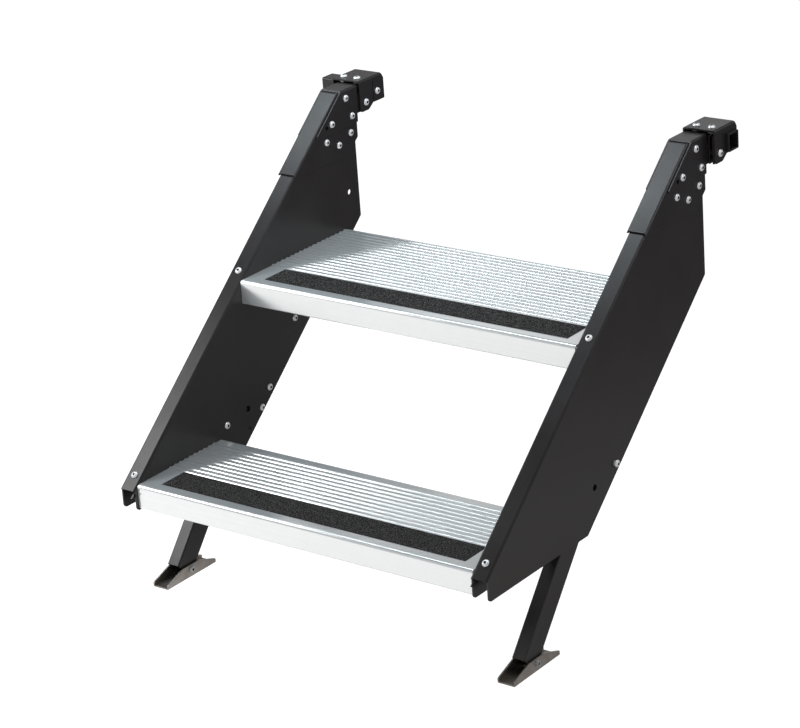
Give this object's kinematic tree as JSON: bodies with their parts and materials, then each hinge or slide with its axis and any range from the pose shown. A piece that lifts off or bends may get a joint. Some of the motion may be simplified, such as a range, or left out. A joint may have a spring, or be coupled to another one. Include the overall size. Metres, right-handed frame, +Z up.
{
  "type": "caravan entry step",
  "caption": "Caravan entry step with two ribbed aluminium treads, black folded stringers, hinged door brackets and adjustable legs.",
  "frame": {"origin": "midway between the two square bracket tubes, at the centre of their section", "axes": "+X along the treads to the right as a person climbs them, +Y towards the vehicle, +Z up"},
  "size_m": [0.7516, 0.6621, 0.6594],
  "materials": {
    "black_powder_coat": "fine textured satin powder coat",
    "tread_aluminium": "satin mill finish",
    "grit_tape": "rough mineral grit",
    "zinc_plate": "bright zinc plate",
    "bare_steel": "plain sheet steel",
    "nylon": "plain"
  },
  "bodies": {
    "door_brackets": {"bracket_left": "black_powder_coat", "bracket_right": "black_powder_coat", "bracket_spacer_left": "black_powder_coat", "bracket_spacer_right": "black_powder_coat", "frame_tube_left": "black_powder_coat", "frame_tube_right": "black_powder_coat", "pivot_bolts": "zinc_plate", "pivot_sleeve_nuts": "zinc_plate", "sill_nuts": "zinc_plate", "sill_screws": "zinc_plate", "tube_clamp_screws": "zinc_plate"},
    "step_frame": {"bush_screws": "zinc_plate", "grip_tape_lower": "grit_tape", "grip_tape_upper": "grit_tape", "guide_bolts": "zinc_plate", "guide_collars": "zinc_plate", "guide_nuts": "zinc_plate", "guide_screws": "zinc_plate", "guide_sleeve_nuts": "zinc_plate", "hanger_left": "black_powder_coat", "hanger_nuts": "zinc_plate", "hanger_right": "black_powder_coat", "hanger_screws": "zinc_plate", "leg_bush_left": "nylon", "leg_bush_right": "nylon", "leg_guide_left": "bare_steel", "leg_guide_right": "bare_steel", "sleeve_left": "black_powder_coat", "sleeve_nuts": "zinc_plate", "sleeve_right": "black_powder_coat", "sleeve_screws": "zinc_plate", "stringer_left": "black_powder_coat", "stringer_right": "black_powder_coat", "tread_carrier_lower_left": "black_powder_coat", "tread_carrier_lower_right": "black_powder_coat", "tread_carrier_upper_left": "black_powder_coat", "tread_carrier_upper_right": "black_powder_coat", "tread_lower": "tread_aluminium", "tread_screws": "zinc_plate", "tread_upper": "tread_aluminium", "web_nuts": "zinc_plate", "web_screws": "zinc_plate"},
    "foot_left_body": {"foot_left": "bare_steel", "foot_pin_left": "zinc_plate", "foot_pin_nut_left": "zinc_plate"},
    "foot_right_body": {"foot_pin_nut_right": "zinc_plate", "foot_pin_right": "zinc_plate", "foot_right": "bare_steel"},
    "leg_left_body": {"leg_left": "black_powder_coat"},
    "leg_right_body": {"leg_right": "black_powder_coat"}
  },
  "joints": [
    {"name": "frame_tilt", "type": "hinge", "parent": "door_brackets", "child": "step_frame", "pos_m": [0, -0.0305, -0.0105], "axis": [1, 0, 0], "range_deg": [-5, 12]},
    {"name": "leg_slide_right", "type": "slide", "parent": "step_frame", "child": "leg_right_body", "axis": [0, -0.6388, -0.7694], "range_m": [0, 0.075]},
    {"name": "foot_swivel_right", "type": "hinge", "parent": "leg_right_body", "child": "foot_right_body", "pos_m": [0.3195, -0.534, -0.617], "axis": [1, 0, 0], "range_deg": [-20, 20]},
    {"name": "leg_slide_left", "type": "slide", "parent": "step_frame", "child": "leg_left_body", "axis": [0, -0.6388, -0.7694], "range_m": [0, 0.075]},
    {"name": "foot_swivel_left", "type": "hinge", "parent": "leg_left_body", "child": "foot_left_body", "pos_m": [-0.3195, -0.534, -0.617], "axis": [1, 0, 0], "range_deg": [-20, 20]}
  ]
}
